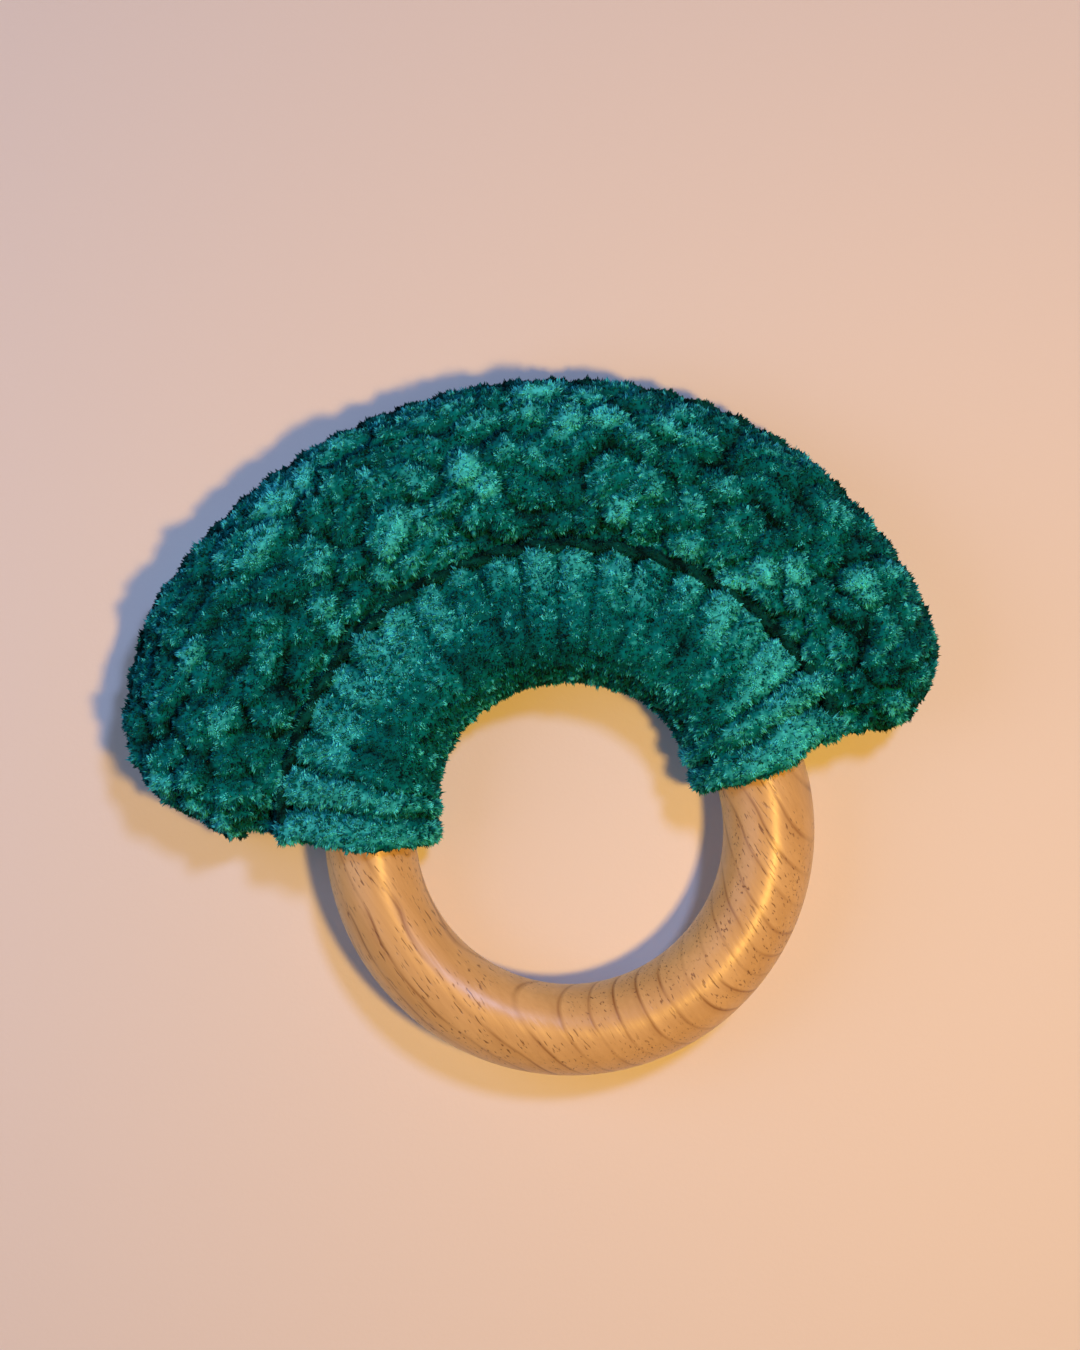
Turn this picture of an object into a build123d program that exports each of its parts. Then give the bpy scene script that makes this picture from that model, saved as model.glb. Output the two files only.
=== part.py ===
"""A baby rattle: a beech teething ring in a crocheted sleeve, with a stuffed crocheted crescent sewn to it.

The rattle lies flat on its back. +X runs along the crescent's two ends, +Y from the bare half of the
ring to the crown of the crescent, and +Z is up. The origin is the middle of the whole rattle's footprint,
on the surface that it lies on. Every size is in millimetres.
"""

import os
from math import acos, asin, atan2, cos, degrees, hypot, radians, sin, sqrt

from build123d import *

# Wooden ring
RING_DIAMETER = 70.0
RING_SECTION = 13.0

# Crocheted sleeve round the ring
RING_CLEARANCE = 0.3
SLEEVE_WALL = 2.2
SLEEVE_START = 5.0  # degrees above the line through the ring's middle, at both ends
LIP_REACH = 4.9  # how far a lip runs out over the crescent, from the ring's outside
LIP_ROUND = 1.2  # radius of a lip's rounded edge

# Stuffed crescent
CRESCENT_DEPTH = 24.4  # across the crown, from the sleeve's lips to the rim
CRESCENT_SHIFT_X = -3.3  # the crescent's own centre, from the ring's centre
CRESCENT_SHIFT_Y = 1.4
CRESCENT_END_Y = 6.5  # the straight ends, above the ring's centre
CRESCENT_THICKNESS = 18.0
LEFT_CORNER_SHARE = 0.6  # the outline's outer corners, as shares of the depth
RIGHT_CORNER_SHARE = 0.38
INNER_CORNER_MARGIN = 0.5  # how much rounder the inner corners are than the edges
SIDE_FLAT = 2.0  # the least upright strip between the roundings of the top and bottom edges
EDGE_SHARE = 0.33  # the most of the depth that one edge's rounding takes
PANEL_WALL = 3.0
TONGUE_THICKNESS = 8.0  # the crescent's inner edge, held between the sleeve's lips
TONGUE_OVERLAP = 5.0  # how far the tongue runs on into the stuffed part
SOFT_GAP = 0.2  # between soft pieces

# Sewing yarn
YARN_RADIUS = 0.8
YARN_GAP = 0.1

# Rattle capsule
FILLING_SKIN = 1.1  # the least filling above and below the capsule
CAPSULE_LENGTH = 28.0
CAPSULE_WALL = 0.8
CAPSULE_LAP = 6.0  # how far the body slides into the cap
CAPSULE_FIT = 0.05
CAPSULE_BODY_LENGTH = 19.0
BALL_COUNT = 5
BALL_SPACING = 3.2
BALL_GAP = 0.05

# Worked out from the sizes above
ring_tube = RING_SECTION / 2
ring_middle = RING_DIAMETER / 2 - ring_tube
sleeve_bore = ring_tube + RING_CLEARANCE
sleeve_tube = sleeve_bore + SLEEVE_WALL
slot_half = TONGUE_THICKNESS / 2 + SOFT_GAP
lip_x = RING_DIAMETER / 2 + LIP_REACH - LIP_ROUND
lip_z = slot_half + LIP_ROUND
tongue_inner = ring_middle + sleeve_bore + SOFT_GAP
crescent_inner = RING_DIAMETER / 2 + LIP_REACH + YARN_GAP
crescent_radius = crescent_inner + CRESCENT_DEPTH - CRESCENT_SHIFT_Y
edge_round = min((CRESCENT_THICKNESS - SIDE_FLAT) / 2, EDGE_SHARE * CRESCENT_DEPTH)
left_corner = LEFT_CORNER_SHARE * CRESCENT_DEPTH
right_corner = RIGHT_CORNER_SHARE * CRESCENT_DEPTH
inner_corner = edge_round + INNER_CORNER_MARGIN
middle_z = max(sleeve_tube, CRESCENT_THICKNESS / 2)
crescent_base = middle_z - CRESCENT_THICKNESS / 2
cap_radius = CRESCENT_THICKNESS / 2 - PANEL_WALL - 2 * SOFT_GAP - FILLING_SKIN
body_radius = cap_radius - CAPSULE_WALL - CAPSULE_FIT
body_bore = body_radius - CAPSULE_WALL
ball_radius = body_bore / 2


def crescent_sketch(plane, inset):
    """The crescent's outline on a plane whose origin is the ring's centre, drawn in by inset all round."""
    radius = crescent_radius - inset
    with BuildSketch(plane) as outline:
        with Locations((CRESCENT_SHIFT_X, CRESCENT_SHIFT_Y)):
            Circle(radius)
        with Locations((CRESCENT_SHIFT_X, CRESCENT_END_Y + inset)):
            Rectangle(3 * radius, 3 * radius, align=(Align.CENTER, Align.MAX), mode=Mode.SUBTRACT)
        Circle(crescent_inner + inset, mode=Mode.SUBTRACT)
        fillet(outline.vertices().sort_by(Axis.X)[0], left_corner - inset)
        fillet(outline.vertices().sort_by(Axis.X)[-1], right_corner - inset)
        inner_ends = outline.vertices().filter_by(
            lambda vertex: hypot(vertex.X, vertex.Y) < crescent_inner + inset + SOFT_GAP
        )
        fillet(inner_ends, inner_corner - inset)
    return outline.sketch


# The ring's centre is placed so that the footprint's middle is the origin.
footprint = crescent_sketch(Plane.XY, 0).bounding_box()
ring_x = -(footprint.min.X + footprint.max.X) / 2
ring_y = -(footprint.max.Y + YARN_RADIUS - RING_DIAMETER / 2) / 2

middle = Plane(origin=(ring_x, ring_y, middle_z))
ring_axis = Axis(middle.origin, (0, 0, 1))


def section_plane(angle):
    """An upright plane through the ring's axis: local x runs outwards, local y up."""
    outwards = (cos(radians(angle)), sin(radians(angle)), 0)
    across = (sin(radians(angle)), -cos(radians(angle)), 0)
    return Plane(origin=middle.origin, x_dir=outwards, z_dir=across)


def cushion(inset):
    """The stuffed part of the crescent as a plain rounded solid, drawn in by inset all round."""
    floor = Plane(origin=(ring_x, ring_y, crescent_base + inset))
    with BuildPart() as solid:
        add(crescent_sketch(floor, inset))
        extrude(amount=CRESCENT_THICKNESS - 2 * inset, dir=(0, 0, 1))
        rims = solid.edges().group_by(Axis.Z)
        fillet(rims[0] + rims[-1], edge_round - inset)
    return solid.part


# The ring is turned from one piece of beech, round in section.
with BuildPart() as wooden_ring:
    with BuildSketch(section_plane(0)):
        with Locations((ring_middle, 0)):
            Circle(ring_tube)
    revolve(axis=ring_axis, revolution_arc=360)

# The sleeve wraps the ring from inside and its two long edges lie over the crescent's inner edge as lips.
lean = degrees(atan2(lip_z, lip_x - ring_middle))
spread = hypot(lip_x - ring_middle, lip_z)
touch = lean + degrees(acos((sleeve_tube - LIP_ROUND) / spread))
slot_turn = degrees(asin(slot_half / sleeve_bore))

with BuildPart() as ring_sleeve:
    with BuildSketch(section_plane(SLEEVE_START)):
        with BuildLine():
            upper_lip = CenterArc((lip_x, lip_z), LIP_ROUND, -90, touch + 90)
            outside = CenterArc((ring_middle, 0), sleeve_tube, touch, 360 - 2 * touch)
            lower_lip = CenterArc((lip_x, -lip_z), LIP_ROUND, -touch, touch + 90)
            bore = CenterArc((ring_middle, 0), sleeve_bore, -slot_turn, 2 * slot_turn - 360)
            Line(upper_lip @ 1, outside @ 0)
            Line(outside @ 1, lower_lip @ 0)
            Line(lower_lip @ 1, bore @ 0)
            Line(bore @ 1, upper_lip @ 0)
        make_face()
    revolve(axis=ring_axis, revolution_arc=180 - 2 * SLEEVE_START)

# The crescent is two crocheted panels. Its thin inner edge is the tongue that the sleeve's lips hold.
with BuildPart() as crescent:
    add(cushion(0))
    with BuildSketch(Plane(origin=(ring_x, ring_y, middle_z - TONGUE_THICKNESS / 2))):
        Circle(crescent_inner + TONGUE_OVERLAP)
        Circle(tongue_inner, mode=Mode.SUBTRACT)
        with Locations((0, CRESCENT_END_Y)):
            Rectangle(
                3 * RING_DIAMETER,
                3 * RING_DIAMETER,
                align=(Align.CENTER, Align.MAX),
                mode=Mode.SUBTRACT,
            )
    extrude(amount=TONGUE_THICKNESS, dir=(0, 0, 1))
    add(cushion(PANEL_WALL), mode=Mode.SUBTRACT)


def rim_path():
    """The seam line between the panels: along one end, round the crown and along the other end."""
    edges = crescent_sketch(middle, 0).edges()
    centre = Vector(ring_x, ring_y, middle_z)
    outer = edges.filter_by(lambda edge: (edge.center() - centre).length > crescent_inner + edge_round / 2)
    return Wire(outer)


def rim_tube(radius):
    """A round cord of that radius along the seam line."""
    path = rim_path()
    with BuildPart() as tube:
        with BuildSketch(Plane(origin=path @ 0, z_dir=path % 0)):
            Circle(radius)
        sweep(path=path)
    return tube.part


with BuildPart() as crescent_front:
    add(crescent.part)
    add(rim_tube(YARN_RADIUS + YARN_GAP), mode=Mode.SUBTRACT)
    split(bisect_by=middle, keep=Keep.TOP)

with BuildPart() as crescent_back:
    add(crescent.part)
    add(rim_tube(YARN_RADIUS + YARN_GAP), mode=Mode.SUBTRACT)
    split(bisect_by=middle, keep=Keep.BOTTOM)

# The yarn that sews the two panels together round the rim.
with BuildPart() as rim_seam:
    add(rim_tube(YARN_RADIUS))


def resting_centre(first, first_radius, second, second_radius):
    """The upper of the two points that lie at those distances from two points of a section plane."""
    across = second - first
    span = across.length
    along = (first_radius**2 - second_radius**2 + span**2) / (2 * span)
    up = sqrt(first_radius**2 - along**2)
    unit = across / span
    return first + unit * along + Vector(-unit.Y, unit.X) * up


# The yarn that sews each lip of the sleeve down lies in the groove between the lip and the crescent.
edge_centre = Vector(crescent_inner + edge_round, CRESCENT_THICKNESS / 2 - edge_round)
seam_place = resting_centre(
    Vector(lip_x, lip_z),
    LIP_ROUND + YARN_RADIUS + YARN_GAP,
    edge_centre,
    edge_round + YARN_RADIUS + YARN_GAP,
)
seam_start = SLEEVE_START + 8.0
seam_arc = 180 - 2 * seam_start

with BuildPart() as sleeve_seam_front:
    with BuildSketch(section_plane(seam_start)):
        with Locations((seam_place.X, seam_place.Y)):
            Circle(YARN_RADIUS)
    revolve(axis=ring_axis, revolution_arc=seam_arc)

with BuildPart() as sleeve_seam_back:
    with BuildSketch(section_plane(seam_start)):
        with Locations((seam_place.X, -seam_place.Y)):
            Circle(YARN_RADIUS)
    revolve(axis=ring_axis, revolution_arc=seam_arc)

# The capsule lies along X in the middle of the crown.
capsule_middle = Vector(ring_x, ring_y + crescent_inner + CRESCENT_DEPTH / 2, middle_z)
capsule_section = Plane(origin=capsule_middle, x_dir=(1, 0, 0), z_dir=(0, -1, 0))
capsule_axis = Axis(capsule_middle, (1, 0, 0))


def round_ended(radius, start, end, bore):
    """A tube along the capsule's axis with a domed end at start and an open one at end."""
    way = 1 if end > start else -1
    outer_centre = start + way * radius
    with BuildPart() as shell:
        with BuildSketch(capsule_section):
            with BuildLine():
                dome = CenterArc((outer_centre, 0), radius, 90, 90 * way)
                Line((outer_centre, radius), (end, radius))
                Line((end, radius), (end, bore))
                Line((end, bore), (outer_centre, bore))
                cup = CenterArc((outer_centre, 0), bore, 90, 90 * way)
                Line(dome @ 1, cup @ 1)
            make_face()
        revolve(axis=capsule_axis, revolution_arc=360)
    return shell.part


with BuildPart() as capsule_body:
    add(round_ended(body_radius, -CAPSULE_LENGTH / 2, CAPSULE_BODY_LENGTH - CAPSULE_LENGTH / 2, body_bore))

cap_start = CAPSULE_BODY_LENGTH - CAPSULE_LAP - CAPSULE_LENGTH / 2
with BuildPart() as capsule_cap:
    add(round_ended(cap_radius, CAPSULE_LENGTH / 2, cap_start, cap_radius - CAPSULE_WALL))

# Five loose balls lie along the bottom of the capsule's bore.
ball_drop = body_bore - ball_radius - BALL_GAP
with BuildPart() as rattle_balls:
    with Locations(capsule_middle - Vector(0, 0, ball_drop)):
        with GridLocations(BALL_SPACING, 1, BALL_COUNT, 1):
            Sphere(ball_radius)

# Fibre filling, pushed in from each end, with a pocket for the capsule between the two wads.
with BuildPart() as filling:
    add(cushion(PANEL_WALL + SOFT_GAP))
    with BuildSketch(capsule_section):
        SlotOverall(CAPSULE_LENGTH + 2 * SOFT_GAP, 2 * (cap_radius + SOFT_GAP))
        Rectangle(2 * CAPSULE_LENGTH, 4 * cap_radius, align=(Align.CENTER, Align.MAX), mode=Mode.SUBTRACT)
    revolve(axis=capsule_axis, revolution_arc=360, mode=Mode.SUBTRACT)

parting = Plane(origin=capsule_middle, z_dir=(1, 0, 0))
with BuildPart() as filling_right:
    add(filling.part)
    split(bisect_by=parting.offset(SOFT_GAP / 2), keep=Keep.TOP)

with BuildPart() as filling_left:
    add(filling.part)
    split(bisect_by=parting.offset(-SOFT_GAP / 2), keep=Keep.BOTTOM)

pieces = {
    "wooden_ring": wooden_ring,
    "ring_sleeve": ring_sleeve,
    "crescent_front": crescent_front,
    "crescent_back": crescent_back,
    "rim_seam": rim_seam,
    "sleeve_seam_front": sleeve_seam_front,
    "sleeve_seam_back": sleeve_seam_back,
    "filling_left": filling_left,
    "filling_right": filling_right,
    "capsule_body": capsule_body,
    "capsule_cap": capsule_cap,
    "rattle_balls": rattle_balls,
}

os.makedirs("parts", exist_ok=True)
for name, piece in pieces.items():
    piece.part.label = name
    export_step(piece.part, f"parts/{name}.step")

print("ring centre", round(ring_x, 4), round(ring_y, 4), round(middle_z, 4))
print("capsule middle", [round(v, 4) for v in capsule_middle])
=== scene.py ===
"""How the baby rattle looks: a beech ring in a crocheted sleeve, sewn to a stuffed crocheted crescent."""

import math

import bpy
import numpy as np
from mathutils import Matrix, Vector, noise


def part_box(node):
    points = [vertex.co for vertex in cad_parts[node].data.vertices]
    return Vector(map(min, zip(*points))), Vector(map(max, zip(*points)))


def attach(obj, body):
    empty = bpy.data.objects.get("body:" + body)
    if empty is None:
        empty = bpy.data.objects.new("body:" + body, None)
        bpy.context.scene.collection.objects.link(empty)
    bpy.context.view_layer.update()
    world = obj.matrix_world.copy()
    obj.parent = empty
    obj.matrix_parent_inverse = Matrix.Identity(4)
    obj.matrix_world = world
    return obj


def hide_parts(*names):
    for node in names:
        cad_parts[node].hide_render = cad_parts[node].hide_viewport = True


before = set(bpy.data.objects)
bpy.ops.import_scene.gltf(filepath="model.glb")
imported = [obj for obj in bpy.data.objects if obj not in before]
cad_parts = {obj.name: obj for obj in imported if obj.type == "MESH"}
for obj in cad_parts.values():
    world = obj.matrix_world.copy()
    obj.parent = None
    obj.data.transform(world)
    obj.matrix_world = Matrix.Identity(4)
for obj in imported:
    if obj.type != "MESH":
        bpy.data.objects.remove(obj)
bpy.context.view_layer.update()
bpy.ops.object.select_all(action="DESELECT")

# ---------------------------------------------------------------------------------------------------
# The view: a camera straight above the rattle, turned so that the crescent leans a little to the left.
# ---------------------------------------------------------------------------------------------------
camera_turn = math.radians(-11.0)
camera_height = 0.3845
bpy.ops.object.camera_add(location=(0.00226, 0.00753, camera_height), rotation=(0, 0, camera_turn))
camera = bpy.context.object
camera.name = "overhead_camera"
camera.data.lens = 70
camera.data.sensor_width = 36
camera.data.clip_start = 0.01
bpy.context.scene.camera = camera

# ---------------------------------------------------------------------------------------------------
# The studio: a pale matt floor, a cool window at the upper right, a warm lamp at the right and a weak
# soft glow at the left. The two lights cross, so one shadow is bluish and the other is brown.
# ---------------------------------------------------------------------------------------------------


def put(tree, kind, **values):
    """Adds a node to a tree and sets its settings and inputs by name, with _ for a space."""
    node = tree.nodes.new(kind)
    for key, value in values.items():
        if hasattr(node, key):
            setattr(node, key, value)
        else:
            node.inputs[key.replace("_", " ")].default_value = value
    return node


def feed(tree, socket, value):
    """Gives a socket a number, a colour or another node's output."""
    if isinstance(value, (int, float, tuple)):
        socket.default_value = value
    else:
        tree.links.new(value, socket)


def emboss(tree, skin, height, strength, distance):
    """A bump on a material's surface."""
    relief = put(tree, "ShaderNodeBump", Strength=strength, Distance=distance)
    tree.links.new(height, relief.inputs["Height"])
    tree.links.new(relief.outputs["Normal"], skin.inputs["Normal"])


def new_material(name):
    """A material with its Principled shader, ready for nodes."""
    material = bpy.data.materials.new(name)
    material.use_nodes = True
    return material, material.node_tree, material.node_tree.nodes["Principled BSDF"]


bpy.ops.mesh.primitive_plane_add(size=1.1, location=(0, 0, 0))
floor = bpy.context.object
floor.name = "pale_floor"
floor_finish, tree, skin = new_material("pale_floor")
skin.inputs["Base Color"].default_value = (0.80, 0.76, 0.74, 1)
skin.inputs["Roughness"].default_value = 0.62
where = put(tree, "ShaderNodeTexCoord")
grain = put(tree, "ShaderNodeTexNoise", Scale=1400.0, Detail=3.0)
tree.links.new(where.outputs["Object"], grain.inputs["Vector"])
emboss(tree, skin, grain.outputs["Fac"], 0.10, 0.0002)
floor.data.materials.append(floor_finish)


def lamp(name, azimuth, elevation, distance, size, power, colour):
    """A square soft light aimed at the rattle, from an azimuth measured from +X towards +Y."""
    turn, lift = math.radians(azimuth), math.radians(elevation)
    way = Vector((math.cos(turn) * math.cos(lift), math.sin(turn) * math.cos(lift), math.sin(lift)))
    bpy.ops.object.light_add(type="AREA", location=way * distance)
    light = bpy.context.object
    light.name = name
    light.rotation_euler = way.to_track_quat("Z", "Y").to_euler()
    light.data.size = size
    light.data.energy = power
    light.data.color = colour


lamp("cool_window", 42, 62, 1.1, 0.14, 4.1, (0.42, 0.57, 1.0))
lamp("warm_lamp", -34, 71, 0.42, 0.044, 1.34, (1.0, 0.54, 0.10))
lamp("soft_side", 166, 44, 0.32, 0.26, 0.28, (0.58, 0.70, 1.0))
sky = bpy.data.worlds.new("soft_sky")
sky.use_nodes = True
tree = sky.node_tree
dim = tree.nodes["Background"]
dim.inputs["Color"].default_value = (1.0, 0.72, 0.64, 1)
dim.inputs["Strength"].default_value = 0.045
# The backdrop looks pale behind the floor's edge, and doesn't light the rattle.
pale = put(tree, "ShaderNodeBackground", Color=(0.62, 0.55, 0.52, 1), Strength=1.0)
seen = put(tree, "ShaderNodeLightPath")
choice = put(tree, "ShaderNodeMixShader")
tree.links.new(seen.outputs["Is Camera Ray"], choice.inputs[0])
tree.links.new(dim.outputs[0], choice.inputs[1])
tree.links.new(pale.outputs[0], choice.inputs[2])
tree.links.new(choice.outputs[0], tree.nodes["World Output"].inputs["Surface"])
bpy.context.scene.world = sky
bpy.context.scene.view_settings.view_transform = "Standard"

# ---------------------------------------------------------------------------------------------------
# The teething ring is turned from one piece of beech, sanded and rubbed with oil. The board's growth
# layers lie aslant, so their thin brown lines cross the round bar as arcs, among short dark rays.
# ---------------------------------------------------------------------------------------------------
ring_low, ring_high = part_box("wooden_ring")
ring_centre = (ring_low + ring_high) / 2
ring_tube = (ring_high.z - ring_low.z) / 2
ring_middle = (ring_high.x - ring_low.x) / 2 - ring_tube

beech, tree, skin = new_material("oiled_beech")
where = put(tree, "ShaderNodeTexCoord")
layer_tilt = (0.829, 0.369, 0.420)  # square to the growth layers
fibre_way = (0.407, -0.914, 0.0)  # along the fibres
ray_way = (0.384, 0.171, -0.908)  # along the layers, square to the fibres


def along(tree, source, way):
    """The distance along one direction."""
    dot = put(tree, "ShaderNodeVectorMath", operation="DOT_PRODUCT")
    dot.inputs[1].default_value = way
    tree.links.new(source, dot.inputs[0])
    return dot.outputs["Value"]


def reckon(tree, operation, first, second, clamp=False):
    """One sum: each side is an output or a number."""
    node = put(tree, "ShaderNodeMath", operation=operation, use_clamp=clamp)
    for socket, value in zip(node.inputs, (first, second)):
        feed(tree, socket, value)
    return node.outputs[0]


def noise_at(tree, source, scale, detail=2.0, roughness=0.5):
    """A noise pattern's value at a place."""
    node = put(tree, "ShaderNodeTexNoise", Scale=scale, Detail=detail, Roughness=roughness)
    tree.links.new(source, node.inputs["Vector"])
    return node.outputs["Fac"]


def blend_colours(tree, amount, first, second):
    """Mixes two colours, each an output or a colour."""
    node = put(tree, "ShaderNodeMix", data_type="RGBA", clamp_factor=True)
    tree.links.new(amount, node.inputs["Factor"])
    feed(tree, node.inputs[6], first)
    feed(tree, node.inputs[7], second)
    return node.outputs[2]


def ramp(tree, value, stops):
    """A smooth curve through a few levels, given as (place, level)."""
    node = put(tree, "ShaderNodeValToRGB")
    node.color_ramp.interpolation = "EASE"
    while len(node.color_ramp.elements) < len(stops):
        node.color_ramp.elements.new(0.5)
    for element, (place, level) in zip(node.color_ramp.elements, stops):
        element.position = place
        element.color = (level, level, level, 1)
    tree.links.new(value, node.inputs["Fac"])
    return node.outputs["Color"]


def gather(tree, x, y, z):
    """A vector from three values."""
    node = put(tree, "ShaderNodeCombineXYZ")
    for socket, value in zip(node.inputs, (x, y, z)):
        feed(tree, socket, value)
    return node.outputs[0]


place = where.outputs["Object"]
across_layers = along(tree, place, layer_tilt)
along_fibres = along(tree, place, fibre_way)
across_rays = along(tree, place, ray_way)
# The layers curve round the tree's heart and wander a little.
heart_distance = 0.090
layer_width = 0.0031
heart = gather(tree, reckon(tree, "ADD", across_layers, heart_distance), across_rays, 0.0)
from_heart = put(tree, "ShaderNodeVectorMath", operation="LENGTH")
tree.links.new(heart, from_heart.inputs[0])
wander = reckon(tree, "MULTIPLY", noise_at(tree, place, 38.0, 2.0), 0.0065)
growth = reckon(tree, "ADD", from_heart.outputs["Value"], wander)
growth = reckon(tree, "MULTIPLY", growth, 1 / layer_width)
season = reckon(tree, "FRACT", growth, 0.0)
late_wood = [(0.0, 0.55), (0.07, 0.0), (0.62, 0.10), (0.86, 0.30), (0.95, 1.0), (1.0, 0.6)]
late_line = ramp(tree, season, late_wood)
strength = ramp(tree, noise_at(tree, place, 90.0, 2.0), [(0.35, 0.25), (0.65, 1.0)])
late_line = reckon(tree, "MULTIPLY", late_line, strength)
# Fibres are long fine streaks, and rays are short dark dashes in drifts.
streak_place = gather(tree, reckon(tree, "MULTIPLY", along_fibres, 0.05), across_layers, across_rays)
streaks = noise_at(tree, streak_place, 1500.0, 3.0, 0.6)
fleck_place = gather(tree, reckon(tree, "MULTIPLY", along_fibres, 0.13), across_layers, across_rays)
flecks = ramp(tree, noise_at(tree, fleck_place, 3300.0, 1.0), [(0.61, 0.0), (0.71, 1.0)])
drifts = ramp(tree, noise_at(tree, place, 150.0, 2.0), [(0.36, 0.0), (0.55, 1.0)])
flecks = reckon(tree, "MULTIPLY", flecks, drifts)
tone = noise_at(tree, streak_place, 170.0, 3.0)

honey = blend_colours(tree, tone, (0.60, 0.385, 0.155, 1), (0.90, 0.64, 0.31, 1))
honey = blend_colours(tree, reckon(tree, "MULTIPLY", streaks, 0.44), honey, (0.40, 0.20, 0.06, 1))
honey = blend_colours(tree, reckon(tree, "MULTIPLY", late_line, 0.88), honey, (0.25, 0.105, 0.030, 1))
honey = blend_colours(tree, reckon(tree, "MULTIPLY", flecks, 0.75), honey, (0.16, 0.062, 0.02, 1))
tree.links.new(honey, skin.inputs["Base Color"])
dull = reckon(tree, "ADD", reckon(tree, "MULTIPLY", streaks, 0.22), 0.27)
tree.links.new(dull, skin.inputs["Roughness"])
skin.inputs["Coat Weight"].default_value = 0.35
skin.inputs["Coat Roughness"].default_value = 0.30
shimmer = reckon(tree, "MULTIPLY", noise_at(tree, streak_place, 520.0, 2.0), 1.3)
height = reckon(tree, "ADD", reckon(tree, "MULTIPLY", streaks, 0.5), shimmer)
height = reckon(tree, "SUBTRACT", height, reckon(tree, "MULTIPLY", flecks, 0.7))
height = reckon(tree, "SUBTRACT", height, reckon(tree, "MULTIPLY", late_line, 0.35))
emboss(tree, skin, height, 0.60, 0.00014)
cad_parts["wooden_ring"].material_slots[0].material = beech

# ---------------------------------------------------------------------------------------------------
# The sleeve is a strip crocheted in chenille yarn, wrapped round the upper half of the ring. Its rows
# run from the hole outwards, each ending in a fat knob on the lip that lies over the crescent.
# ---------------------------------------------------------------------------------------------------
row_widths = [1.4] + [1.0] * 18 + [1.4]  # the rows, counted from the right end, with a fat one at each end
sleeve_stitch = 0.0056
sleeve_relief = 0.0012
curd = 0.00120  # the little lumps that the pile clings together in
pile_length = 0.00066
pile_width = 0.00018
pile_count = 15e6  # tufts to the square metre
pile_band = 0.24  # the share of the bake's map that the tufts take
tuft_depth = 0.00025  # how far a tuft's root is sunk
pile_room = 0.0008  # what the crochet leaves below it for the pile
lowest_root = 0.0006
lowest_tip = 0.00005
ring_room = 0.0001  # what the yarn leaves free round the wooden ring


def chenille_group():
    """Chenille pile colour with painted light: painted shade between the tufts, painted highlights at their tips
    and painted sheen in patches where the pile turns.
    """
    group = bpy.data.node_groups.new("chenille_pile", "ShaderNodeTree")
    for name in ("Deep", "Body", "Tip"):
        group.interface.new_socket(name, in_out="INPUT", socket_type="NodeSocketColor")
    group.interface.new_socket("Patches", in_out="INPUT", socket_type="NodeSocketFloat")
    group.interface.new_socket("Colour", in_out="OUTPUT", socket_type="NodeSocketColor")
    group.interface.new_socket("Roughness", in_out="OUTPUT", socket_type="NodeSocketFloat")
    given = put(group, "NodeGroupInput")
    result = put(group, "NodeGroupOutput")
    place = put(group, "ShaderNodeTexCoord").outputs["Object"]
    painted_pile_light = put(group, "ShaderNodeAttribute", attribute_name="painted_pile_light").outputs["Fac"]
    # Painted sheen: patches a few millimetres wide, painted lighter or darker.
    sheen_patches = reckon(group, "SUBTRACT", noise_at(group, place, 190.0, 2.0), 0.5)
    sheen_patches = reckon(group, "MULTIPLY", sheen_patches, given.outputs["Patches"])
    speckle = reckon(group, "SUBTRACT", noise_at(group, place, 1500.0, 2.0), 0.5)
    speckle = reckon(group, "MULTIPLY", speckle, 0.6)
    level = reckon(group, "ADD", reckon(group, "ADD", painted_pile_light, sheen_patches), speckle)
    # The level is painted light: low levels get the painted shade colour, high levels the painted highlight
    # colour.
    lower = reckon(group, "MULTIPLY", level, 2.0, clamp=True)
    upper = reckon(group, "MULTIPLY", reckon(group, "SUBTRACT", level, 0.5), 2.0, clamp=True)
    colour = blend_colours(group, lower, given.outputs["Deep"], given.outputs["Body"])
    colour = blend_colours(group, upper, colour, given.outputs["Tip"])
    group.links.new(colour, result.inputs["Colour"])
    dull = reckon(group, "SUBTRACT", 0.92, reckon(group, "MULTIPLY", upper, 0.30))
    group.links.new(dull, result.inputs["Roughness"])
    return group


chenille_pile = chenille_group()


def chenille(name, deep, body, highlight_colour, patches):
    """A chenille yarn in one dye, with a colour for painted shade, the dye's own colour and a colour for painted
    highlights.
    """
    material, tree, skin = new_material(name)
    pile = put(
        tree, "ShaderNodeGroup", node_tree=chenille_pile, Deep=deep, Body=body, Tip=highlight_colour, Patches=patches
    )
    tree.links.new(pile.outputs["Colour"], skin.inputs["Base Color"])
    tree.links.new(pile.outputs["Roughness"], skin.inputs["Roughness"])
    skin.inputs["Specular IOR Level"].default_value = 0.06
    skin.inputs["Sheen Weight"].default_value = 0.06
    skin.inputs["Sheen Roughness"].default_value = 0.4
    skin.inputs["Sheen Tint"].default_value = (0.18, 0.95, 0.92, 1)
    return material


# The teal's three colours: painted shade, the dye and painted highlight.
teal_chenille = chenille(
    "teal_chenille", (0.0002, 0.014, 0.017, 1), (0.0003, 0.184, 0.206, 1), (0.085, 0.90, 1.0, 1), 0.40
)


def read(piece, what="co"):
    """The vertices' places or normals as rows of three numbers."""
    values = np.empty(len(piece.data.vertices) * 3, np.float32)
    piece.data.vertices.foreach_get(what, values)
    return values.reshape(-1, 3).astype(float)


def write(piece, places):
    """Moves the vertices to new places."""
    piece.data.vertices.foreach_set("co", places.astype(np.float32).ravel())
    piece.data.update()


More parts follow.
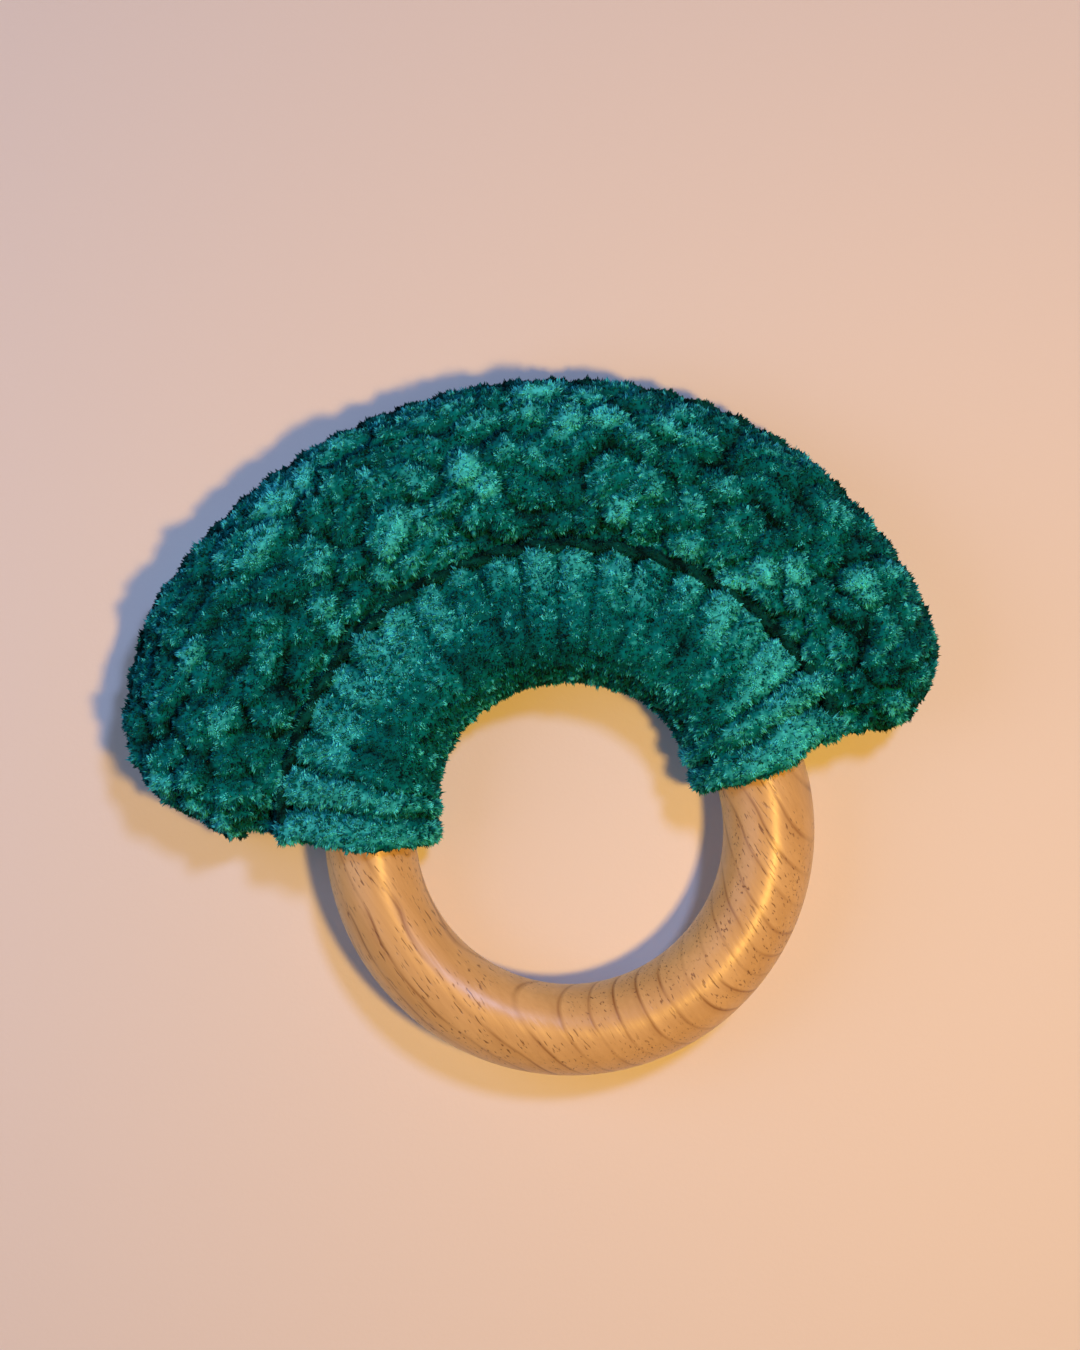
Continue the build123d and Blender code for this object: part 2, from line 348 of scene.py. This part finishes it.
def soft_copy(nodes, name, voxel):
    """Copies CAD nodes into one new piece and remeshes it in small even squares."""
    bpy.ops.object.select_all(action="DESELECT")
    for node in nodes:
        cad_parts[node].select_set(True)
    bpy.context.view_layer.objects.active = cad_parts[nodes[0]]
    bpy.ops.object.duplicate()
    if len(nodes) > 1:
        bpy.ops.object.join()
    piece = bpy.context.object
    piece.name = piece.data.name = name
    piece.parent = None
    for key in list(piece.keys()):
        del piece[key]
    piece.data.materials.clear()
    bpy.ops.object.mode_set(mode="EDIT")
    bpy.ops.mesh.select_all(action="SELECT")
    bpy.ops.mesh.remove_doubles(threshold=0.000002)
    bpy.ops.mesh.customdata_custom_splitnormals_clear()
    bpy.ops.object.mode_set(mode="OBJECT")
    remesh(piece, voxel)
    return piece


def remesh(piece, voxel):
    """Rebuilds a closed piece in even squares of that size."""
    bpy.ops.object.select_all(action="DESELECT")
    piece.select_set(True)
    bpy.context.view_layer.objects.active = piece
    piece.data.remesh_voxel_size = voxel
    bpy.ops.object.voxel_remesh()


def knobs(across, up, seed):
    """Round stitches packed like bricks, at places given in stitches: their height, 0 to 1, and the
    luck of the stitch at each place, 0 to 1."""
    repeat = 97  # the pattern starts again after so many stitches
    scatter, twist = 0.35, 0.9
    half_width, half_height = 0.64, 0.72
    chance = np.random.default_rng(seed).random((repeat, repeat, 5))
    height, fate = np.zeros(len(across)), np.full(len(across), 0.5)
    for row_step in (-1, 0, 1):
        row = np.floor(up) + row_step
        shifted = across - 0.5 * (row % 2)
        for step in (-1, 0, 1):
            column = np.floor(shifted) + step
            luck = chance[(row % repeat).astype(int), (column % repeat).astype(int)]
            x = shifted - column - 0.5 - scatter * (luck[:, 0] - 0.5)
            y = up - row - 0.5 - scatter * (luck[:, 1] - 0.5)
            turn = twist * (luck[:, 2] - 0.5)
            x, y = x * np.cos(turn) + y * np.sin(turn), y * np.cos(turn) - x * np.sin(turn)
            bump = np.clip(1 - (x / half_width) ** 2 - (y / half_height) ** 2, 0, 1) ** 0.72
            bump *= 0.72 + 0.42 * luck[:, 3]
            fate = np.where(bump > height, luck[:, 4], fate)
            height = np.maximum(height, bump)
    return height, fate


def drift(places, scale, seed):
    """Smooth random values, about -1 to 1, that change over 1 / scale metres."""
    shift = Vector((seed * 7.3, seed * 3.1, seed * 5.7))
    return np.array([noise.noise(Vector(p) * scale + shift) for p in places]) * 2


def ease(values, low, high):
    """0 below low, 1 above high and smooth between."""
    t = np.clip((values - low) / (high - low), 0, 1)
    return t * t * (3 - 2 * t)


def face_corners(mesh):
    """Each corner's vertex, each face's first corner and each face's number of corners."""
    corners = np.empty(len(mesh.loops), np.int32)
    mesh.loops.foreach_get("vertex_index", corners)
    starts = np.empty(len(mesh.polygons), np.int32)
    counts = np.empty(len(mesh.polygons), np.int32)
    mesh.polygons.foreach_get("loop_start", starts)
    mesh.polygons.foreach_get("loop_total", counts)
    return corners, starts, counts


def bake_map(piece, chart, shown, band):
    """Lays the bake's map: shown faces fill the upper part, and hidden ones a thin band below it."""
    low, high = chart[shown].min(0), chart[shown].max(0)
    spread = np.clip((chart - low) / (high - low), 0, 1)
    large = np.column_stack((0.004 + 0.992 * spread[:, 0], band + 0.034 + (0.962 - band) * spread[:, 1]))
    small = np.column_stack((0.004 + 0.992 * spread[:, 0], band + 0.004 + 0.026 * spread[:, 1]))
    corners, starts, counts = face_corners(piece.data)
    all_shown = np.minimum.reduceat(shown[corners].astype(int), starts) > 0
    owner = np.repeat(all_shown, counts)
    uv = np.where(owner[:, None], large[corners], small[corners])
    layer = piece.data.uv_layers.new(name="OFBake", do_init=False)
    layer.data.foreach_set("uv", uv.astype(np.float32).ravel())


def note_painted_pile_light(piece, values):
    """Stores each vertex's painted pile light: low values are painted shade, high ones painted highlight, and
    the tufts grow longer where it is high.
    """
    layer = piece.data.attributes.new("painted_pile_light", "FLOAT", "POINT")
    layer.data.foreach_set("value", values.astype(np.float32))


def grow_pile(piece, shown, painted_pile_light, seed, band, length=pile_length, thick=1.0):
    """Covers the shown side with short tufts. They lean in drifts, as a stroked pile does."""
    places, normals = read(piece), read(piece, "normal")
    corners, starts, sizes = face_corners(piece.data)
    some = np.minimum.reduceat(shown[corners].astype(int), starts) > 0
    rim = np.stack([corners[starts[some] + np.minimum(step, sizes[some] - 1)] for step in range(4)], 1)
    diagonals = places[rim[:, 2]] - places[rim[:, 0]], places[rim[:, 3]] - places[rim[:, 1]]
    area = np.linalg.norm(np.cross(*diagonals), axis=1)
    chance = np.random.default_rng(seed)
    number = np.floor(area / 2 * pile_count * thick + chance.random(len(area))).astype(int)
    rim = rim[np.repeat(np.arange(len(rim)), number)]
    u, v = chance.random((2, len(rim)))
    share = np.stack(((1 - u) * (1 - v), u * (1 - v), u * v, (1 - u) * v), 1)
    roots = (places[rim] * share[:, :, None]).sum(1)
    ways = (normals[rim] * share[:, :, None]).sum(1)
    level = (painted_pile_light[rim] * share).sum(1)
    kept = roots[:, 2] > lowest_root
    roots, ways, level = roots[kept], ways[kept], level[kept]
    count = len(roots)
    ways /= np.linalg.norm(ways, axis=1)[:, None]
    # The tufts cling together in little clumps: each leans to its clump's middle.
    clumps = np.array([noise.voronoi(Vector(p) / curd)[1][0] for p in roots]) * curd
    mood = np.array([noise.noise(Vector(p) * 7919.0) for p in clumps]) * 1.3
    pull = (clumps - roots) / curd
    pull -= (pull * ways).sum(1)[:, None] * ways
    middle = np.clip(1 - np.linalg.norm(pull, axis=1) / 0.6, 0, 1)
    noise.seed_set(1)  # without it noise_vector takes its seed from the clock
    lean = pull * 1.5 + np.array([noise.noise_vector(Vector(p) * 150.0) for p in roots]) * 0.6
    lean += chance.normal(0, 0.15, (count, 3))
    tips = ways + lean
    tips /= np.linalg.norm(tips, axis=1)[:, None]
    tips = ways * 0.35 + tips
    tips /= np.linalg.norm(tips, axis=1)[:, None]
    side = np.cross(ways, chance.normal(0, 1, (count, 3)))
    side /= np.linalg.norm(side, axis=1)[:, None]
    other = np.cross(ways, side)
    deep = 0.45 + 0.75 * np.clip(level, 0, 0.75)
    reach = length * ((0.50 + 0.70 * middle + 0.35 * (chance.random(count) - 0.5)) * deep)[:, None]
    broad = pile_width * (0.7 + 0.6 * chance.random(count))[:, None]
    sunk = roots + chance.normal(0, 0.00010, (count, 3)) + ways * (0.4 * length * middle - tuft_depth)[:, None]
    tuft = np.empty((count, 4, 3))
    for corner in range(3):
        turn = corner * math.tau / 3
        tuft[:, corner] = sunk + broad * (math.cos(turn) * side + math.sin(turn) * other)
    tuft[:, 3] = sunk + tips * (reach + tuft_depth)
    tuft[:, 3, 2] = np.maximum(tuft[:, 3, 2], lowest_tip)
    sides = np.array(((0, 1, 3), (1, 2, 3), (2, 0, 3), (2, 1, 0)))
    faces = (np.arange(count)[:, None, None] * 4 + sides).reshape(-1, 3)
    pile = bpy.data.meshes.new(piece.name + "_pile")
    pile.from_pydata(tuft.reshape(-1, 3), [], faces)
    # Each tuft has a small square of the bake's map to itself.
    across = math.ceil(math.sqrt(count / band))
    cell = 1 / across
    corner_uv = np.array(((0.08, 0.08), (0.92, 0.08), (0.5, 0.92)))
    uv = np.empty((count, 3, 2))
    uv[:, :, 0] = (np.arange(count) % across)[:, None] * cell + corner_uv[:, 0] * cell
    uv[:, :, 1] = (np.arange(count) // across)[:, None] * cell + corner_uv[:, 1] * cell
    every_face = np.repeat(uv[:, None], len(sides), axis=1)
    layer = pile.uv_layers.new(name="OFBake", do_init=False)
    layer.data.foreach_set("uv", every_face.astype(np.float32).ravel())
    # Painted light on each tuft: painted shade at its root and a painted highlight at its tip, lighter at a
    # clump's middle and painted shade in the gaps between clumps; mood is a random tone for each clump.
    speckle = chance.normal(0, 0.06, count) + mood * 0.55 + (middle - 0.45) * 0.50
    values = np.empty((count, 4))
    values[:, :3] = (level * 0.9 - 0.08 + speckle * 0.7)[:, None]
    values[:, 3] = level * 1.10 + 0.08 + speckle
    layer = pile.attributes.new("painted_pile_light", "FLOAT", "POINT")
    layer.data.foreach_set("value", values.astype(np.float32).ravel())
    tufts = bpy.data.objects.new(piece.name + "_pile", pile)
    bpy.context.scene.collection.objects.link(tufts)
    bpy.ops.object.select_all(action="DESELECT")
    tufts.select_set(True)
    piece.select_set(True)
    bpy.context.view_layer.objects.active = piece
    bpy.ops.object.join()
    bpy.ops.object.shade_smooth()
    print(piece.name, "tufts", count, "triangles", sum(len(p.vertices) - 2 for p in piece.data.polygons))


def clear_ring(piece):
    """Pushes out what reaches into the wooden ring, so that the ring turns freely."""
    places = read(piece)
    offset = places - np.array(ring_centre)
    from_axis = np.hypot(offset[:, 0], offset[:, 1])
    aside = from_axis - ring_middle
    from_bar = np.hypot(aside, offset[:, 2])
    push = np.maximum(ring_tube + ring_room - from_bar, 0) / from_bar
    places[:, :2] += offset[:, :2] * (aside * push / from_axis)[:, None]
    places[:, 2] += offset[:, 2] * push
    write(piece, places)


sleeve = soft_copy(["ring_sleeve"], "sleeve_crochet", 0.00044)
places = read(sleeve)
offset = places - np.array(ring_centre)
from_axis = np.hypot(offset[:, 0], offset[:, 1])
# Both ends are cut a little aslant: their outer sides stop short.
round_ring = np.arctan2(offset[:, 1], offset[:, 0])
left_slant, right_slant = 0.0036, 0.0038
back = left_slant * ease(round_ring, 2.5, 3.05) - right_slant * (1 - ease(round_ring, 0.09, 0.64))
back *= ease(from_axis, 0.027, 0.038) / from_axis
places[:, 0] += offset[:, 1] * np.sin(back) - offset[:, 0] * (1 - np.cos(back))
places[:, 1] -= offset[:, 0] * np.sin(back) + offset[:, 1] * (1 - np.cos(back))
write(sleeve, places)
places, normals = read(sleeve), read(sleeve, "normal")
offset = places - np.array(ring_centre)
round_ring = np.arctan2(offset[:, 1], offset[:, 0])
from_axis = np.hypot(offset[:, 0], offset[:, 1])
round_bar = np.arctan2(offset[:, 2], from_axis - ring_middle) % math.tau
outwards = np.column_stack((np.cos(round_ring), np.sin(round_ring)))
from_bar = np.column_stack((outwards * np.cos(round_bar)[:, None], np.sin(round_bar)))
facing_out = (normals * from_bar).sum(1)
facing_end = np.abs((normals[:, :2] * np.column_stack((-outwards[:, 1], outwards[:, 0]))).sum(1))
shown = ease(np.maximum(facing_out, facing_end - 0.3), -0.05, 0.35)
row_edges = np.concatenate(([0], np.cumsum(row_widths))) / sum(row_widths)
start, end = round_ring.min(), round_ring.max()
along_rows = np.interp((round_ring - start) / (end - start), row_edges, np.arange(len(row_edges)))
along_rows = along_rows + 0.08 * drift(places, 160.0, 1)
round_stitches = round_bar * (ring_tube + 0.0025) / sleeve_stitch + 0.15 * drift(places, 140.0, 2)
to_groove = np.abs(along_rows - np.round(along_rows))
rib = np.sqrt(np.clip(1 - (1 - 2 * to_groove) ** 2, 0, 1))
near_lip = ease(np.cos(round_bar), 0.0, 0.85)
half_rows = len(row_widths) / 2
end_row = ease(np.abs(along_rows - half_rows), half_rows - 2.6, half_rows - 1.9)
row_luck = np.random.default_rng(8).random(len(row_widths) + 2)
row_luck = row_luck[np.clip(along_rows, 0, len(row_widths)).astype(int)]
knob, knob_luck = knobs(along_rows, round_stitches, 3)
small, small_luck = knobs(along_rows * 2.0, round_stitches * 2.2, 4)
relief_height = (
    rib * (0.22 + (1.0 + 0.6 * row_luck) * near_lip + 1.5 * end_row)
    + knob * (0.35 + 0.45 * near_lip)
    + small * 0.40
    - 1.1 * near_lip
    - 0.8 * end_row
)
at_hole = ease(-np.cos(round_bar), 0.2, 1.0) * ease(np.sin(round_ring + 0.1), 0.25, 0.9)
at_left_end = ease(facing_end, 0.5, 0.9) * (round_ring > 1.6) * (0.6 + 0.4 * np.cos(round_bar))
lift = (sleeve_relief * (relief_height - 0.75) - 0.0018 * at_hole - 0.0008 * at_left_end) * shown
lift = np.maximum(lift, -0.0021)
moved = places + normals * lift[:, None]
moved[:, 2] = np.maximum(moved[:, 2], pile_room)
write(sleeve, moved)
# Painted light in the pile level: painted highlights on the ribs, the knobs and the lip, painted shade in the
# grooves between rows.
level = rib * (0.12 + 0.36 * near_lip + 0.45 * end_row) - 0.16 * end_row
level = level + knob * 0.24 + small * (0.10 + 0.14 * small_luck)
level += 0.07 + 0.20 * (knob_luck - 0.5) + 0.10 * drift(places, 60.0, 6)
seen = shown > 0.5
painted_pile_light = np.clip(level * 0.95 - 0.09, -0.1, 0.62)
note_painted_pile_light(sleeve, painted_pile_light)
bake_map(sleeve, np.column_stack((round_ring, round_bar)), seen, pile_band)
grow_pile(sleeve, seen, painted_pile_light, 11, pile_band)
clear_ring(sleeve)
sleeve.data.materials.append(teal_chenille)
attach(sleeve, "plush")
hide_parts("ring_sleeve")

# ---------------------------------------------------------------------------------------------------
# The crescent is a cushion of two crocheted panels, stuffed until the rows swell. The rows follow the
# ring, and their stitches are round knobs with creases between them, where shade is painted.
# ---------------------------------------------------------------------------------------------------
stitch_width = 0.0060
row_height = 0.0058
first_row = 0.0400  # how far from the ring's axis the rows start
crescent_relief = 0.0030
panel_wall = 0.0026
swell = 5.0  # the cushion is blown up at this many times its size
most_swell = 0.0016

cushion = soft_copy(["crescent_front", "crescent_back"], "crescent_cushion", 0.0015)
bpy.ops.object.mode_set(mode="EDIT")
bpy.ops.mesh.select_all(action="SELECT")
bpy.ops.mesh.separate(type="LOOSE")
bpy.ops.object.mode_set(mode="OBJECT")
halves = list(bpy.context.selected_objects)
cushion = max(halves, key=lambda piece: piece.dimensions.x)
for piece in halves:
    if piece is not cushion:
        bpy.data.objects.remove(piece)
cushion.name = "crescent_cushion"
unblown = read(cushion)
offset = unblown - np.array(ring_centre)
held = 1 - ease(np.hypot(offset[:, 0], offset[:, 1]), 0.041, 0.046)
group = cushion.vertex_groups.new(name="held")
for index in np.flatnonzero(held > 0.01):
    group.add([int(index)], float(held[index]), "REPLACE")
write(cushion, unblown * swell)
bpy.ops.object.select_all(action="DESELECT")
cushion.select_set(True)
bpy.context.view_layer.objects.active = cushion
cloth = cushion.modifiers.new("stuffing", "CLOTH")
cloth.settings.use_pressure = True
cloth.settings.uniform_pressure_force = 4.0
cloth.settings.effector_weights.gravity = 0
cloth.settings.vertex_group_mass = "held"
cloth.settings.quality = 4
cloth.collision_settings.use_collision = False
cloth.point_cache.frame_start, cloth.point_cache.frame_end = 1, 20
for step in range(1, 21):
    bpy.context.scene.frame_set(step)
bpy.ops.object.modifier_apply(modifier="stuffing")
bpy.context.scene.frame_set(1)
blown = read(cushion) / swell
move = blown - unblown
size = np.linalg.norm(move, axis=1)
print("cushion swell, mm", size.mean() * 1000, size.max() * 1000)
move *= (most_swell * np.tanh(size / most_swell) / np.maximum(size, 1e-9))[:, None]
write(cushion, unblown + move)
cushion.vertex_groups.clear()
bpy.ops.object.select_all(action="DESELECT")
cushion.select_set(True)
bpy.context.view_layer.objects.active = cushion
cushion.modifiers.new("smooth", "SUBSURF").levels = 2
bpy.ops.object.modifier_apply(modifier="smooth")


# How far the stuffing pushes the rim out or the stitches pull it in, in mm, at angles round the ring.
rim_line = [(5, -4.2), (8, -3.9), (14, -2.4), (20, -1.3), (29, -0.3), (38, 0.2), (48, 0.8), (64, 0.8)]
rim_line += [(80, 0), (98, -0.5), (112, -0.5), (122, -0.2), (132, 0.1), (141, 0.5), (148, -0.4)]
rim_line += [(154, -1.6), (161, -4.2), (165, -6.2), (168, -8)]
rim_turn, rim_push = zip(*rim_line)
left_corner_rise = 0.0024


def shape_rim(places):
    """Gives the crescent's rim its stuffed outline."""
    offset = places - np.array(ring_centre)
    turn = np.degrees(np.arctan2(offset[:, 1], offset[:, 0]))
    reach = np.hypot(offset[:, 0], offset[:, 1])
    push = np.interp(turn, rim_turn, rim_push) * 0.001 * ease(reach, 0.043, 0.062)
    shaped = places.copy()
    shaped[:, :2] += offset[:, :2] * (push / reach)[:, None]
    shaped[:, 1] += left_corner_rise * ease(-offset[:, 0], 0.034, 0.044) * (1 - ease(offset[:, 1], 0.006, 0.020))
    return shaped


write(cushion, shape_rim(read(cushion)))
remesh(cushion, 0.00046)

panels = (("front_crochet", "crescent_front", 1, 20), ("back_crochet", "crescent_back", -1, 40))
for name, node, side, seed in panels:
    bpy.ops.object.select_all(action="DESELECT")
    cushion.select_set(True)
    bpy.context.view_layer.objects.active = cushion
    bpy.ops.object.duplicate()
    panel = bpy.context.object
    panel.name = panel.data.name = name
    bpy.ops.object.mode_set(mode="EDIT")
    bpy.ops.mesh.select_all(action="SELECT")
    bpy.ops.mesh.bisect(
        plane_co=ring_centre, plane_no=(0, 0, side), clear_inner=True, clear_outer=False, use_fill=False
    )
    bpy.ops.object.mode_set(mode="OBJECT")
    wall = panel.modifiers.new("wall", "SOLIDIFY")
    wall.thickness = panel_wall
    wall.offset = -1
    outer_count = len(panel.data.vertices)
    bpy.ops.object.modifier_apply(modifier="wall")
    places, normals = read(panel), read(panel, "normal")
    outer = np.arange(len(places)) < outer_count
    offset = places - np.array(ring_centre)
    round_ring = np.arctan2(offset[:, 1], offset[:, 0])
    from_axis = np.hypot(offset[:, 0], offset[:, 1])
    outwards = np.column_stack((np.cos(round_ring), np.sin(round_ring)))
    tilt_out = (normals[:, :2] * outwards).sum(1)
    tilt_side = (normals[:, :2] * np.column_stack((-outwards[:, 1], outwards[:, 0]))).sum(1)
    flat = np.maximum(np.hypot(tilt_out, tilt_side), 0.02)
    drop = np.maximum(np.abs(offset[outer, 2]).max() - np.abs(offset[:, 2]), 0)
    chart_up = from_axis + drop * tilt_out / flat
    chart_round = round_ring * 0.052 + drop * tilt_side / flat
    across = chart_round / stitch_width + 0.32 * drift(places, 120.0, seed)
    up = (chart_up - first_row) / row_height + 0.32 * drift(places, 110.0, seed + 1)
    knob, knob_luck = knobs(across, up, seed + 2)
    small, small_luck = knobs(across * 2.6, up * 2.5, seed + 3)
    at_rim = ease(np.abs(normals[:, 2]), 0.1, 0.6)
    relief_height = knob + small * 0.34 + drift(places, 75.0, seed + 5) * 0.08
    held = ease(from_axis, 0.0385, 0.044)
    lift = crescent_relief * np.maximum(relief_height - 0.92, -0.78) * outer * held * (0.55 + 0.45 * at_rim)
    moved = places + normals * lift[:, None]
    moved[:, 2] = np.maximum(moved[:, 2], pile_room)
    write(panel, moved)
    # Painted light in the pile level: painted highlights on the knob tops and on a few bright knobs, painted
    # shade in the creases and in a band beside the sleeve.
    level = knob * 0.60 + small * (0.10 + 0.20 * small_luck) + 0.24 * (knob_luck - 0.5)
    level += 0.15 * (knob_luck > 0.84) * knob + 0.10 * drift(places, 50.0, seed + 7)
    painted_pile_light = np.clip(level * 0.95 - 0.14 - 0.24 * (1 - ease(from_axis, 0.0400, 0.0424)), -0.12, 0.80)
    note_painted_pile_light(panel, painted_pile_light)
    bake_map(panel, np.column_stack((chart_round, chart_up)), outer, pile_band)
    grow_pile(panel, outer, painted_pile_light, seed + 6, pile_band, thick=1.0 if side > 0 else 0.75)
    clear_ring(panel)
    panel.data.materials.append(teal_chenille)
    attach(panel, "plush")
    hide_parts(node)
bpy.data.objects.remove(cushion)

# ---------------------------------------------------------------------------------------------------
# The seams are whip stitches in the same chenille: one row closes the crescent's rim, and two sew the
# sleeve's lips down on its front and back. Each stitch slants across the join.
# ---------------------------------------------------------------------------------------------------
stitch_pitch = 0.0055
stitch_relief = 0.0006
seam_pile = 0.00060
# The seams' yarn is the teal chenille painted darker: painted shade along the joins.
shaded_seam_yarn = chenille(
    "shaded_seam_chenille", (0.0003, 0.010, 0.011, 1), (0.001, 0.100, 0.090, 1), (0.045, 0.50, 0.45, 1), 0.35
)


def stitch_seam(node, name, middle, seed):
    """Twists a seam's cord into slanting stitches. The seam goes round a middle point."""
    seam = soft_copy([node], name, 0.00030)
    places, normals = read(seam), read(seam, "normal")
    offset = places[:, :2] - np.array(middle[:2])
    turn = np.arctan2(offset[:, 1], offset[:, 0])
    reach = np.hypot(offset[:, 0], offset[:, 1])
    bins = 360
    slot = ((turn + math.pi) / math.tau * bins).astype(int) % bins
    filled = np.bincount(slot, minlength=bins)
    some = filled > 0
    line_turn = (np.arange(bins)[some] + 0.5) / bins * math.tau - math.pi
    line_reach = np.bincount(slot, reach, minlength=bins)[some] / filled[some]
    line_z = np.bincount(slot, places[:, 2], minlength=bins)[some] / filled[some]
    line = np.column_stack((line_reach * np.cos(line_turn), line_reach * np.sin(line_turn)))
    gone = np.concatenate(([0], np.cumsum(np.linalg.norm(np.diff(line, axis=0), axis=1))))
    along_seam = np.interp(turn, line_turn, gone)
    aside = reach - np.interp(turn, line_turn, line_reach)
    above = places[:, 2] - np.interp(turn, line_turn, line_z)
    round_cord = np.arctan2(above, aside)
    stitch = np.abs(np.sin(math.pi * along_seam / stitch_pitch + 0.5 * round_cord))
    write(seam, places + normals * (stitch_relief * (stitch - 0.8))[:, None])
    # Painted light on the cord: painted highlights on the stitches and painted shade between them, and the
    # sleeve seams, in the crease by the lip, get more painted shade than the rim seam.
    painted_pile_light = -0.05 + (0.38 if name == "rim_stitches" else 0.32) * stitch
    note_painted_pile_light(seam, painted_pile_light)
    everywhere = np.ones(len(places), bool)
    bake_map(seam, np.column_stack((along_seam, round_cord)), everywhere, 0.3)
    grow_pile(seam, everywhere, painted_pile_light, seed, 0.3, length=seam_pile)
    seam.data.materials.append(shaded_seam_yarn)
    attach(seam, "plush")
    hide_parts(node)
    return seam


crescent_low, crescent_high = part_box("crescent_front")
crescent_middle = (ring_centre.x, 0.6 * crescent_high.y + 0.4 * crescent_low.y)
rim = stitch_seam("rim_seam", "rim_stitches", crescent_middle, 61)
stitch_seam("sleeve_seam_front", "front_stitches", ring_centre, 62)
stitch_seam("sleeve_seam_back", "back_stitches", ring_centre, 63)
write(rim, shape_rim(read(rim)))

# ---------------------------------------------------------------------------------------------------
# The filling is a wad of white polyester fibre at each side of the capsule, teased out by hand and
# pushed into the cushion. It is lumpy, and it fills the space without pressing into the capsule.
# ---------------------------------------------------------------------------------------------------
wad_lumps = 0.0013
wad, tree, skin = new_material("fibre_wad")
place = put(tree, "ShaderNodeTexCoord").outputs["Object"]
lumps_and_shade = noise_at(tree, place, 260.0, 4.0, 0.6)
wisps = noise_at(tree, place, 2400.0, 3.0, 0.7)
# Painted shade: the wad is painted grey in the low places of its bump relief and near white on its lumps.
colour = blend_colours(tree, lumps_and_shade, (0.55, 0.54, 0.52, 1), (0.90, 0.90, 0.88, 1))
tree.links.new(colour, skin.inputs["Base Color"])
tree.links.new(reckon(tree, "ADD", reckon(tree, "MULTIPLY", wisps, 0.2), 0.75), skin.inputs["Roughness"])
skin.inputs["Sheen Weight"].default_value = 0.3
emboss(tree, skin, reckon(tree, "ADD", wisps, lumps_and_shade), 0.8, 0.0004)
for node, name, seed in (("filling_left", "left_wad", 71), ("filling_right", "right_wad", 72)):
    piece = soft_copy([node], name, 0.0008)
    write(piece, shape_rim(read(piece)))
    places, normals = read(piece), read(piece, "normal")
    lump = 0.6 * drift(places, 170.0, seed) + 0.4 * drift(places, 420.0, seed + 4)
    write(piece, places - normals * (wad_lumps * np.clip(0.5 - 0.6 * lump, 0.02, 1.2))[:, None])
    bpy.ops.object.shade_smooth()
    piece.data.materials.append(wad)
    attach(piece, "plush")
    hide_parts(node)

# ---------------------------------------------------------------------------------------------------
# The capsule is a moulded tube with a push-on cap in milky plastic. It keeps its CAD shape and gets
# faint flow marks, a fine moulded texture and rubbed places.
# ---------------------------------------------------------------------------------------------------
milky, tree, skin = new_material("milky_plastic")
place = put(tree, "ShaderNodeTexCoord").outputs["Object"]
flow = noise_at(tree, place, 120.0, 3.0)
texture = noise_at(tree, place, 3000.0, 2.0)
colour = blend_colours(tree, flow, (0.70, 0.72, 0.72, 1), (0.88, 0.89, 0.88, 1))
tree.links.new(colour, skin.inputs["Base Color"])
tree.links.new(reckon(tree, "ADD", reckon(tree, "MULTIPLY", flow, 0.2), 0.28), skin.inputs["Roughness"])
emboss(tree, skin, texture, 0.15, 0.00005)
for node in ("capsule_body", "capsule_cap"):
    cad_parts[node].material_slots[0].material = milky

# ---------------------------------------------------------------------------------------------------
# The five balls that make the sound are hardened steel, ground round and tumbled bright. They keep
# their CAD shape, with faint rubbed scratches and slightly dull spots.
# ---------------------------------------------------------------------------------------------------
bright, tree, skin = new_material("tumbled_steel")
place = put(tree, "ShaderNodeTexCoord").outputs["Object"]
dull_spots = noise_at(tree, place, 900.0, 3.0)
scratches = noise_at(tree, place, 6000.0, 4.0, 0.8)
colour = blend_colours(tree, dull_spots, (0.50, 0.50, 0.51, 1), (0.66, 0.66, 0.67, 1))
tree.links.new(colour, skin.inputs["Base Color"])
skin.inputs["Metallic"].default_value = 1.0
dull = reckon(tree, "ADD", reckon(tree, "MULTIPLY", scratches, 0.25), 0.10)
tree.links.new(dull, skin.inputs["Roughness"])
emboss(tree, skin, scratches, 0.1, 0.00002)
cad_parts["rattle_balls"].material_slots[0].material = bright
